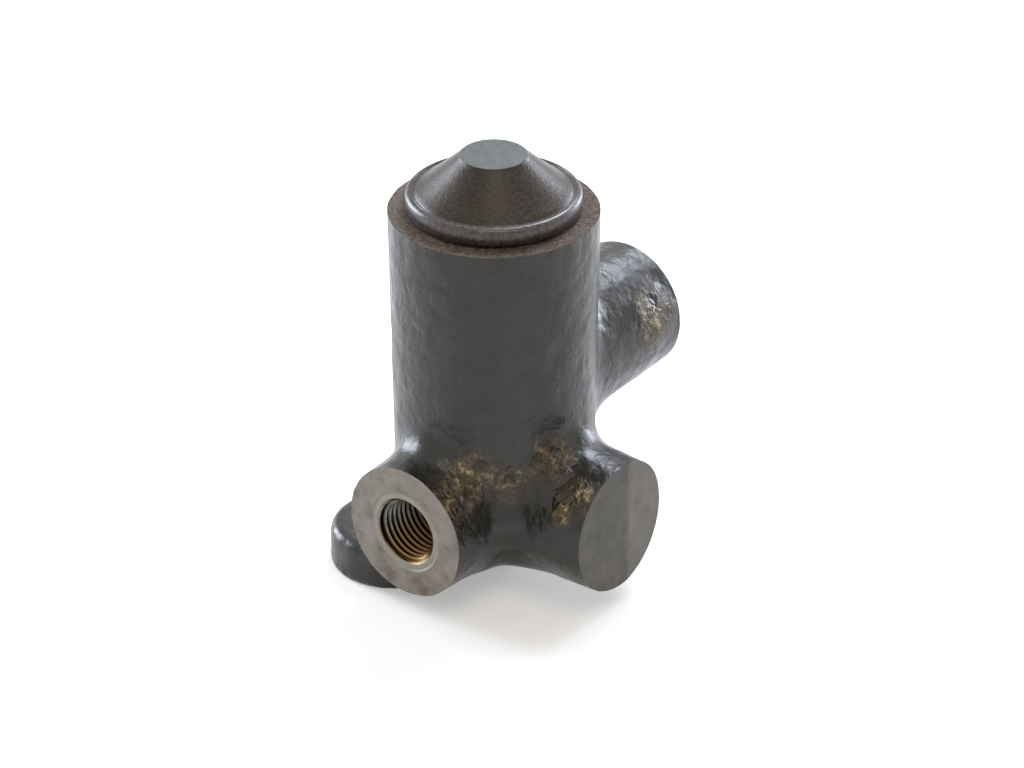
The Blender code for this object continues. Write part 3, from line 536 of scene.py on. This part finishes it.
def threadFinish(name, axisHeight, reach):
    # cut thread: grey-green metal on the crests, painted shade in black in the roots and deep in the port,
    # a painted golden reflection on the threads below the axis
    finish, tree, place = newFinish(name)
    spots = addNode(tree, "ShaderNodeTexNoise", {"Scale": noiseScale(threadMetal["spot"]), "Detail": 3.0},
                    {"Vector": place})
    centred = addNode(tree, "ShaderNodeMapping", {"Location": (0, 0, -axisHeight * mm), "Scale": (1, 0, 1)},
                      {"Vector": place})
    away = addNode(tree, "ShaderNodeVectorMath", {"operation": "LENGTH"}, {0: centred.outputs[0]})
    # painted shade: black towards the thread roots
    rootShade = addNode(tree, "ShaderNodeMapRange",
                     {"From Min": threadMetal["crest"] * mm, "From Max": threadMetal["root"] * mm},
                     {"Value": away.outputs["Value"]})
    split = addNode(tree, "ShaderNodeSeparateXYZ", {}, {"Vector": centred.outputs[0]})
    # painted golden reflection, below the axis
    lowerReflection = addNode(tree, "ShaderNodeMapRange", {"From Min": 0.0, "From Max": -threadMetal["reflectionBelow"] * mm},
                    {"Value": split.outputs["Z"]})
    whole = addNode(tree, "ShaderNodeSeparateXYZ", {}, {"Vector": place})
    along = addNode(tree, "ShaderNodeMath", {"operation": "ABSOLUTE"}, {0: whole.outputs["Y"]})
    # painted shade, darker deeper in the port
    start, end = threadMetal["shadeDepth"]
    deepShade = addNode(tree, "ShaderNodeMapRange",
                   {"From Min": (reach - start) * mm, "From Max": (reach - end) * mm,
                    "To Max": threadMetal["shadeShare"]}, {"Value": along.outputs[0]})
    paintedShade = addNode(tree, "ShaderNodeMath", {"operation": "MAXIMUM"},
                   {0: rootShade.outputs[0], 1: deepShade.outputs[0]})
    # the painted shade stops short of the countersink at the mouth
    start, end = threadMetal["lipDepth"]
    lip = addNode(tree, "ShaderNodeMapRange",
                  {"From Min": (reach - start) * mm, "From Max": (reach - end) * mm},
                  {"Value": along.outputs[0]})
    # the painted shade, kept off the countersink
    dark = addNode(tree, "ShaderNodeMath", {"operation": "SUBTRACT", "use_clamp": True},
                   {0: paintedShade.outputs[0], 1: lip.outputs[0]})
    low, high = threadMetal["bare"]
    bare = addNode(tree, "ShaderNodeValToRGB", {"stops": [(0.35, low), (0.65, high)]},
                   {"Fac": spots.outputs[0]})
    # the painted golden reflection, then the painted shade over it
    oilAndGoldSheen = addNode(tree, "ShaderNodeMix", {"data_type": "RGBA", "B": threadMetal["paintedGold"]},
                    {"Factor": lowerReflection.outputs[0], "A": bare.outputs[0]})
    colour = addNode(tree, "ShaderNodeMix", {"data_type": "RGBA", "B": threadMetal["shadeBlack"]},
                     {"Factor": dark.outputs[0], "A": oilAndGoldSheen.outputs["Result"]})
    endFinish(tree, {"Metallic": 1.0, "Roughness": 0.3}, {"Base Color": colour.outputs["Result"]})
    return finish


finishes = {
    "casting": castingFinish(),
    "outletFace": machinedFinish("facedOutletIron", port["outletAxis"]),
    "inletFace": machinedFinish("facedInletIron", port["inletAxis"]),
    "stubFace": sawnFinish(),
    "rim": rustyFinish(),
    # reamed cast iron: darker and smoother than the faces
    "bore": metalFinish("reamedCastIron", ("#5f5a54", "#77716a"), 0.8, 0.35, 1.2, 0.01),
    "outletThread": threadFinish("cutOutletThread", port["outletAxis"], port["outletReach"]),
    "inletThread": threadFinish("cutInletThread", port["inletAxis"], port["inletReach"]),
    # blackened steel: brown-black, oily, finely speckled
    "capCone": metalFinish("oilBlackedSteel", ("#2c2721", "#443b32"), 0.2, 0.34, 0.45, 0.05, 0.25),
    # its flange, rubbed to a greyer gloss, its lighter grey partly a painted highlight on the edge
    "capFlange": metalFinish("oilBlackedSteelEdge", ("#444140", "#5f5b58"), 0.7, 0.34, 0.6, 0.03),
    # flattened top: the same steel worn to a grey satin
    "capTop": metalFinish("wornSteelTop", ("#50534f", "#5d605e"), 0.85, 0.46, 0.8, 0.008),
    # turned free-cutting steel: bright, smooth
    "turnedSteel": metalFinish("turnedSteel", ("#a8a8a6", "#bdbdbb"), 1.0, 0.28, 1.5, 0.006),
    # hardened spring wire: dark blue-grey, slightly oily
    "springSteel": metalFinish("springSteel", ("#54555a", "#6b6d72"), 1.0, 0.34, 0.7, 0.01),
    # turned brass: warm yellow metal
    "bushBrass": metalFinish("turnedBrass", ("#c09a52", "#d6b36c"), 1.0, 0.30, 1.5, 0.006),
    # moulded rubber: matt black with a fine grain
    "sealRubber": metalFinish("mouldedRubber", ("#17171a", "#222226"), 0.0, 0.62, 0.3, 0.01),
    # moulded nylon: creamy white, low gloss
    "plastic": metalFinish("mouldedNylon", ("#d8d4c6", "#e4e1d6"), 0.0, 0.45, 1.0, 0.005),
}
print("finishes made")

# the casting
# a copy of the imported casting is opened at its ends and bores, drawn out past its faces,
# remeshed and smoothed into one lumpy skin, then faced, sawn and bored again
body = {
    "rim": 56.7, "stub": 23.3, "chamfer": 0.3, "bossReach": 10.8, "overrun": 1.4,
    # what counts as a bore: radii, and where the main bore and the ports begin
    "boreReach": 11.6, "boreFloor": 6.75, "portReach": 5.7, "portStart": 5,
    "voxel": 0.40, "smoothing": 14, "lumpSize": 3.0, "lumpDepth": 0.16,
    "archPlace": (9.5, -9.5, 4.2), "archReach": 8.5, "archTop": 9, "archSmoothing": 110,
    "breakPlace": 1.65, "breakLean": 4.0,  # the lean in degrees
    # how far behind each face its finish reaches, and how squarely that has to look outwards
    "faceDepth": 0.3, "faceTurn": 0.6, "stubDepth": 1.2, "stubTurn": 0.99,
    "rimDepth": 0.02, "rimTurn": 0.9, "finishFloor": 6.6, "sharpest": 32,
}
source = nodes["valve_body"]
castBody = bpy.data.objects.new("castBody", source.data.copy())
bpy.context.scene.collection.objects.link(castBody)
editAll(castBody)
bpy.ops.mesh.remove_doubles(threshold=weld)
edge = body["chamfer"] * mm


def offAxis(point, axisHeight):
    # how far a point lies from a port's axis
    return math.hypot(point.x, point.z - axisHeight * mm)


def atRim(point):
    return point.z > body["rim"] * mm - edge - slack


def atOutlet(point):
    # the round foot reaches almost as far forward, so it is kept out by its distance
    nearAxis = offAxis(point, port["outletAxis"]) < body["bossReach"] * mm
    return nearAxis and point.y < -port["outletReach"] * mm + edge + slack


def atInlet(point):
    return point.y > port["inletReach"] * mm - edge - slack


def atStub(point):
    return point.x > body["stub"] * mm - edge - slack


def inBores(point, floorHeight):
    # in the main bore above a height, or in one of the ports
    if point.z > floorHeight * mm and math.hypot(point.x, point.y) < body["boreReach"] * mm:
        return True
    if point.y < -body["portStart"] * mm and offAxis(point, port["outletAxis"]) < body["portReach"] * mm:
        return True
    return point.y > body["portStart"] * mm and offAxis(point, port["inletAxis"]) < body["portReach"] * mm


def isOpened(point):
    return any(atEnd(point) for atEnd, place, outward in ends) or inBores(point, body["boreFloor"])


ends = [
    (atRim, (0, 0, body["rim"] * mm), (0, 0, 1)),
    (atOutlet, (0, -port["outletReach"] * mm, 0), (0, -1, 0)),
    (atInlet, (0, port["inletReach"] * mm, 0), (0, 1, 0)),
    (atStub, (body["stub"] * mm, 0, 0), (1, 0, 0)),
]
pick(castBody, "FACE", isOpened)
bpy.ops.mesh.delete(type="FACE")
print("casting opened,", len(castBody.data.polygons), "faces left")

for atEnd, place, outward in ends:
    # the open edge is drawn out past the face and closed
    pick(castBody, "EDGE", atEnd)
    drawnOut = Vector(outward) * (body["overrun"] + body["chamfer"]) * mm
    bpy.ops.mesh.extrude_edges_move(TRANSFORM_OT_translate={"value": drawnOut})
    bpy.ops.mesh.edge_face_add()
    bpy.ops.object.mode_set(mode="OBJECT")
applyModifier(castBody, "REMESH", mode="VOXEL", voxel_size=body["voxel"] * mm)
applyModifier(castBody, "SMOOTH", factor=0.5, iterations=body["smoothing"])
archPlace = Vector(body["archPlace"]) * mm


def inArch(point):
    return (point - archPlace).length < body["archReach"] * mm and point.z < body["archTop"] * mm


# the underside between the two lower bosses is worked into one smooth arch
pick(castBody, "VERT", inArch)
bpy.ops.mesh.vertices_smooth(factor=0.5, repeat=body["archSmoothing"])
bpy.ops.object.mode_set(mode="OBJECT")
lumpPattern = bpy.data.textures.new("castLumps", type="CLOUDS")
lumpPattern.noise_scale = body["lumpSize"] * mm
lumpPattern.noise_depth = 1
applyModifier(castBody, "DISPLACE", texture=lumpPattern, texture_coords="LOCAL", direction="NORMAL",
              mid_level=1.0, strength=body["lumpDepth"] * mm)
print("casting remeshed,", len(castBody.data.polygons), "faces")

for atEnd, place, outward in ends:
    sawOff(castBody, place, outward)
# past the break line the stub's end leans back a little
leanAngle = math.radians(body["breakLean"])
sawOff(castBody, (body["stub"] * mm, body["breakPlace"] * mm, 0),
       (math.cos(leanAngle), math.sin(leanAngle), 0))
sawOff(castBody, (0, 0, slack), (0, 0, -1))
print("casting faced,", len(castBody.data.polygons), "faces")

# the bores, in mm, as outlines of (radius, distance along the bore)
bores = {
    "main": [(0, 57.7), (10.4, 57.7), (10.4, 54.85), (11.3, 54.85), (11.3, 53.35), (10.4, 53.35),
             (10.4, 38.75), (11.3, 38.75), (11.3, 37.45), (10.4, 37.45), (10.4, 35.0), (8.0, 35.0),
             (8.0, 18.8), (6.25, 18.8), (6.25, 6.9), (0, 6.9)],
    "thread": 5.08, "mouth": 5.22, "sink": 0.16, "depth": 11.5, "drill": 2.0, "cone": 1.8, "past": 1,
    "sides": 96,
}


def portTool(name, reach, end, turn):
    mouth, bored, start = bores["mouth"], bores["thread"], reach - bores["sink"]
    past, bottom = reach + bores["past"], reach - bores["depth"]
    outline = [(0, past), (mouth, past), (mouth, start), (bored, start - (mouth - bored)), (bored, bottom),
               (bores["drill"], bottom - bores["cone"]), (bores["drill"], end), (0, end)]
    return spinOutline(name, outline, bores["sides"], turn)


lowTurn = Matrix.Translation((0, 0, port["outletAxis"] * mm)) @ Matrix.Rotation(math.pi / 2, 4, "X")
highTurn = Matrix.Translation((0, 0, port["inletAxis"] * mm)) @ Matrix.Rotation(-math.pi / 2, 4, "X")
cutWith(castBody, spinOutline("mainBoreTool", bores["main"], bores["sides"]))
cutWith(castBody, portTool("outletTool", port["outletReach"], port["outletEnd"], lowTurn))
cutWith(castBody, portTool("inletTool", port["inletReach"], port["inletEnd"], highTurn))

# the shallow seat round the outlet port
seat = {"inner": 4.6, "outer": 6.3, "depth": 0.16, "slope": 0.25, "past": 0.5}
inner, outer, front = seat["inner"], seat["outer"], port["outletReach"]
ringTool = [(inner, front + seat["past"]), (outer, front + seat["past"]), (outer, front),
            (outer - seat["slope"], front - seat["depth"]), (inner, front - seat["depth"])]
cutWith(castBody, spinOutline("spotFaceTool", ringTool, bores["sides"], lowTurn))
print("casting bored,", len(castBody.data.polygons), "faces")

# its finishes go in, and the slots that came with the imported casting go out
slots = ["casting", "outletFace", "inletFace", "stubFace", "rim", "bore"]
for name in slots:
    castBody.data.materials.append(finishes[name])
while len(castBody.data.materials) > len(slots):
    castBody.data.materials.pop(index=0)


def finishAt(point, normal):
    if point.y < -(port["outletReach"] - body["faceDepth"]) * mm and normal.y < -body["faceTurn"]:
        return "outletFace"
    if point.y > (port["inletReach"] - body["faceDepth"]) * mm and normal.y > body["faceTurn"]:
        return "inletFace"
    if point.x > (body["stub"] - body["stubDepth"]) * mm and normal.x > body["stubTurn"]:
        return "stubFace"
    if point.z > (body["rim"] - body["rimDepth"]) * mm and normal.z > body["rimTurn"]:
        return "rim"
    return "bore" if inBores(point, body["finishFloor"]) else "casting"


for face in castBody.data.polygons:
    face.material_index = slots.index(finishAt(face.center, face.normal))
shadeSmooth(castBody, body["sharpest"])
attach(castBody, "housing")
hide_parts("valve_body")
print("casting done")

# threads, M10 x 1 in both ports, in mm; crest and root are radii
thread = {
    "pitch": 1.0, "root": 5.0, "crest": 4.46, "flat": 0.12, "turns": 12, "sides": 64, "wall": 0.2,
    "below": 0.4, "clearance": 0.02, "weld": 0.01, "sharpest": 30,
}


def threadLining(name, reach, turn):
    # one pitch of the thread's outline, screwed round the port and given a wall behind it
    pitch, flat, crest, root = thread["pitch"], thread["flat"], thread["crest"], thread["root"]
    low = reach - bores["depth"] - thread["below"]
    outline = [(crest, low), (crest, low + flat), (root, low + pitch / 2), (root, low + pitch / 2 + flat),
               (crest, low + pitch)]
    piece = drawOutline(name, outline)
    applyModifier(piece, "SCREW", angle=math.tau, screw_offset=pitch * mm, iterations=thread["turns"],
                  steps=thread["sides"], render_steps=thread["sides"], use_merge_vertices=True,
                  merge_threshold=weld)
    # the countersink at the mouth trims the first turns
    wide = (bores["mouth"] - thread["clearance"]) * mm
    top = (reach - bores["sink"] - thread["clearance"]) * mm
    for vertex in piece.data.vertices:
        x, y, height = vertex.co.x, vertex.co.y, min(vertex.co.z, top)
        radius = math.hypot(x, y)
        share = max(radius, wide - (top - height)) / radius
        vertex.co = (x * share, y * share, height)
    editAll(piece)
    bpy.ops.mesh.remove_doubles(threshold=thread["weld"] * mm)
    bpy.ops.mesh.delete_loose()
    bpy.ops.mesh.select_all(action="SELECT")
    bpy.ops.mesh.normals_make_consistent(inside=False)
    bpy.ops.object.mode_set(mode="OBJECT")
    middle = piece.data.polygons[len(piece.data.polygons) // 2]
    outwards = middle.normal.x * middle.center.x + middle.normal.y * middle.center.y > 0
    applyModifier(piece, "SOLIDIFY", thickness=thread["wall"] * mm, offset=1.0 if outwards else -1.0)
    editAll(piece)
    bpy.ops.mesh.normals_make_consistent(inside=False)
    bpy.ops.object.mode_set(mode="OBJECT")
    piece.data.transform(turn)
    piece.data.materials.append(finishes[name])
    shadeSmooth(piece, thread["sharpest"])
    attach(piece, "housing")
    return piece


outletThread = threadLining("outletThread", port["outletReach"], lowTurn)
inletThread = threadLining("inletThread", port["inletReach"], highTurn)
print("threads cut,", len(outletThread.data.polygons), "and", len(inletThread.data.polygons), "faces")

# the cap, in mm
cap = {
    # (radius, height) from the inside of the neck, out over the flange, up the cone and back inside
    "outline": [(8.95, 55.1), (9.95, 55.1), (10.25, 55.4), (10.25, 57.0), (12.25, 57.0), (12.5, 57.12),
                (12.6, 57.35), (12.6, 58.95), (12.52, 59.3), (12.32, 59.56), (12.02, 59.68), (11.92, 59.7),
                (11.84, 59.58), (11.74, 59.58), (11.66, 59.7), (11.56, 59.7), (11.48, 59.58), (11.38, 59.58),
                (11.3, 59.72), (10.7, 60.12), (9.3, 61.22), (7.9, 62.42), (6.5, 63.68), (5.3, 64.78),
                (4.98, 65.08), (4.9, 65.2), (4.78, 65.3), (0, 65.3), (0, 63.8), (4.15, 63.8), (8.95, 59.7)],
    # the finish of the top lies above one height and that of the flange below another
    "topHeight": 65.22, "topTurn": 0.9, "flangeHeight": 59.8, "sides": 128, "sharpest": 38,
}
capSlots = ["capCone", "capFlange", "capTop"]
domedCap = spinOutline("domedCap", cap["outline"], cap["sides"])
for name in capSlots:
    domedCap.data.materials.append(finishes[name])
for face in domedCap.data.polygons:
    if face.center.z > cap["topHeight"] * mm and face.normal.z > cap["topTurn"]:
        face.material_index = capSlots.index("capTop")
    elif face.center.z < cap["flangeHeight"] * mm:
        face.material_index = capSlots.index("capFlange")
shadeSmooth(domedCap, cap["sharpest"])
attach(domedCap, "housing")
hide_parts("dust_cap")
print("cap done")

# the main spring, in mm: both radii, the ends' heights, and a closed turn at each end
spring = {
    "wireRadius": 1.1, "coilRadius": 6.12, "low": 41.8, "high": 58.0, "turns": 5, "closed": 1,
    "closedPitch": 2.35, "wireSides": 16, "sides": 48, "sharpest": 50,
}
wireRadius, closed = spring["wireRadius"], spring["closed"]
closedRise = spring["closedPitch"] * closed
openRise = spring["high"] - spring["low"] - wireRadius * 2 - closedRise * 2
openTurns = spring["turns"] - closed * 2
firstHeight = spring["low"] + wireRadius
stretches = [
    (firstHeight, spring["closedPitch"], closed),
    (firstHeight + closedRise, openRise / openTurns, openTurns),
    (spring["high"] - wireRadius - closedRise, spring["closedPitch"], closed),
]
coils = []
for start, pitch, turns in stretches:
    # the wire's round section, screwed up by one pitch a turn
    settle()
    bpy.ops.mesh.primitive_circle_add(vertices=spring["wireSides"], radius=wireRadius * mm,
                                      rotation=(math.pi / 2, 0, 0),
                                      location=(spring["coilRadius"] * mm, 0, start * mm))
    coil = newPiece("coil")
    applyModifier(coil, "SCREW", angle=math.tau, screw_offset=pitch * mm, iterations=turns,
                  steps=spring["sides"], render_steps=spring["sides"], use_merge_vertices=False)
    coils.append(coil)
settle()
for coil in coils:
    coil.select_set(True)
bpy.context.view_layer.objects.active = coils[0]
bpy.ops.object.join()
mainSpring = bpy.context.object
mainSpring.name = "mainSpring"
mainSpring.data.name = "mainSpring"
editAll(mainSpring)
bpy.ops.mesh.remove_doubles(threshold=weld)
bpy.ops.mesh.fill_holes(sides=0)
bpy.ops.mesh.normals_make_consistent(inside=False)
bpy.ops.object.mode_set(mode="OBJECT")
mainSpring.data.materials.append(finishes["springSteel"])
shadeSmooth(mainSpring, spring["sharpest"])
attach(mainSpring, "housing")
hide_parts("main_spring")
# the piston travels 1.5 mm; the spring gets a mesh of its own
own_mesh(mainSpring)
print("spring wound")

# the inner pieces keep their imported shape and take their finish
innerPieces = {
    "turnedSteel": ["piston", "spring_seat", "preload_shim_1", "preload_shim_2", "spring_cup", "seal_washer",
                    "spacer_sleeve", "valve_ring_washer"],
    "springSteel": ["stem_clip", "end_circlip", "bush_circlip"],
    "bushBrass": ["guide_bush"],
    "sealRubber": ["bush_o_ring", "stem_wiper", "stem_seal", "valve_ring"],
    "plastic": ["stem_backup_ring"],
}
for finish, names in innerPieces.items():
    for name in names:
        for slot in nodes[name].material_slots:
            slot.material = finishes[finish]
print("inner pieces finished")
